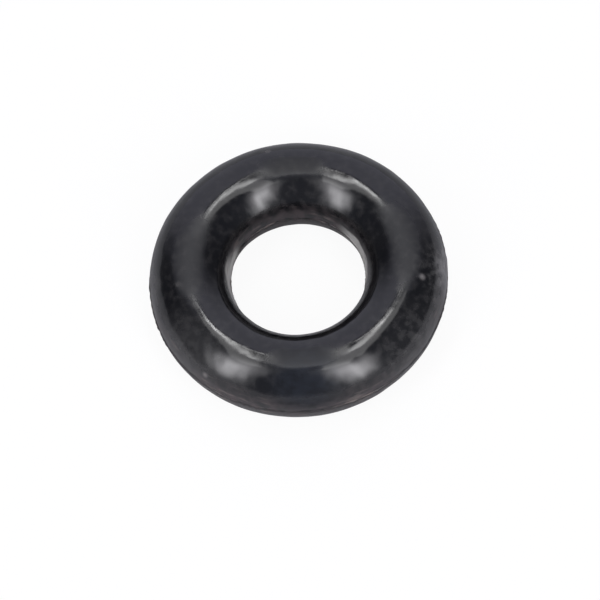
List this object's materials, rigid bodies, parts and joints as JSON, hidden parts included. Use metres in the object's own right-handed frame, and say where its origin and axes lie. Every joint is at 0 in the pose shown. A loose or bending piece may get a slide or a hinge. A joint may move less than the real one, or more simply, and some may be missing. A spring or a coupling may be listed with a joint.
{
  "type": "o-ring",
  "caption": "Moulded rubber sealing ring of round section, with a low trimmed flash line round its bore and its rim, that seals a shaft or plug in a housing.",
  "frame": {"origin": "centre of the ring, on its axis and on its middle (parting) plane", "axes": "+Z along the ring's axis, square to the plane it lies in; X and Y lie in the middle plane"},
  "size_m": [0.0132, 0.0132, 0.0036],
  "materials": {
    "rubber": "satin black moulded nitrile rubber, a little dusty"
  },
  "bodies": {
    "root": {"o_ring": "rubber"}
  },
  "joints": []
}
